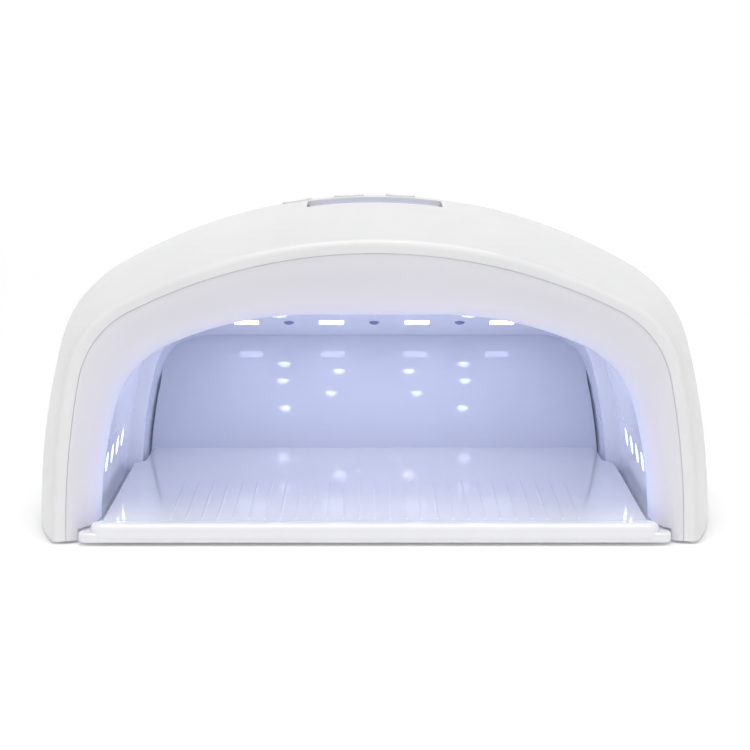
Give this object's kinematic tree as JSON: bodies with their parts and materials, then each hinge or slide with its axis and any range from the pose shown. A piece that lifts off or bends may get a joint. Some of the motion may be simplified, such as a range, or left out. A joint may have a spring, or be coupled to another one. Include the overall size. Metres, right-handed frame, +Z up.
{
  "type": "nail gel curing lamp",
  "caption": "Arched white tabletop lamp with an open hand tunnel, a glowing bezel, LEDs in the ceiling and sides, a pull-out tray, a display and press keys.",
  "frame": {"origin": "centre of the bounding box on the table, under the feet", "axes": "+X to the right seen from the front opening, +Y to the back, +Z up"},
  "size_m": [0.2314, 0.1999, 0.11],
  "materials": {
    "shell_white": "satin white, fine grain",
    "bezel_milky": "milky translucent, glossy",
    "frame_white": "matte white",
    "reflector_gloss": "glossy white",
    "board_green": "solder mask",
    "led_lens": "clear dome, lit",
    "spreader_aluminium": "brushed",
    "chip_black": "matte black",
    "window_tinted": "tinted, glossy",
    "key_white": "satin white",
    "socket_black": "matte black",
    "pin_metal": "plated",
    "lead_black": "soft insulation",
    "tray_gloss": "glossy white",
    "magnet_nickel": "nickel plated",
    "foot_rubber": "matte grey",
    "screw_steel": "zinc plated",
    "screw_black": "black oxide"
  },
  "bodies": {
    "housing": {"outer_shell": "shell_white", "front_bezel": "bezel_milky", "base_frame": "frame_white", "reflector": "reflector_gloss", "back_wall": "reflector_gloss", "ceiling_led_board": "board_green", "slope_led_board": "board_green", "left_led_board": "board_green", "right_led_board": "board_green", "ceiling_leds": "led_lens", "slope_leds": "led_lens", "window_leds": "led_lens", "left_leds": "led_lens", "right_leds": "led_lens", "heat_spreader": "spreader_aluminium", "control_board": "board_green", "board_chips": "chip_black", "key_switches": "chip_black", "display_module": "chip_black", "display_window": "window_tinted", "dc_socket": "socket_black", "dc_pin": "pin_metal", "power_lead": "lead_black", "led_leads": "lead_black", "frame_magnets": "magnet_nickel", "rubber_feet": "foot_rubber", "base_screws": "screw_steel", "reflector_screws": "screw_steel", "ceiling_screws": "screw_black", "board_screws": "screw_steel"},
    "tray": {"tray": "tray_gloss", "tray_magnets": "magnet_nickel"},
    "key_10s": {"key_10s": "key_white"},
    "key_30s": {"key_30s": "key_white"},
    "key_60s": {"key_60s": "key_white"},
    "power_key": {"power_key": "key_white"}
  },
  "joints": [
    {"name": "tray_slide", "type": "slide", "parent": "housing", "child": "tray", "axis": [0, -1, 0], "range_m": [0, 0.15]},
    {"name": "key_10s_press", "type": "slide", "parent": "housing", "child": "key_10s", "axis": [0.1508, 0, -0.9886], "range_m": [0, 0.0008], "stiffness_N_per_m": 400},
    {"name": "key_30s_press", "type": "slide", "parent": "housing", "child": "key_30s", "axis": [0.0503, 0, -0.9987], "range_m": [0, 0.0008], "stiffness_N_per_m": 400},
    {"name": "key_60s_press", "type": "slide", "parent": "housing", "child": "key_60s", "axis": [-0.0503, 0, -0.9987], "range_m": [0, 0.0008], "stiffness_N_per_m": 400},
    {"name": "power_key_press", "type": "slide", "parent": "housing", "child": "power_key", "axis": [-0.1508, 0, -0.9886], "range_m": [0, 0.0008], "stiffness_N_per_m": 400}
  ]
}
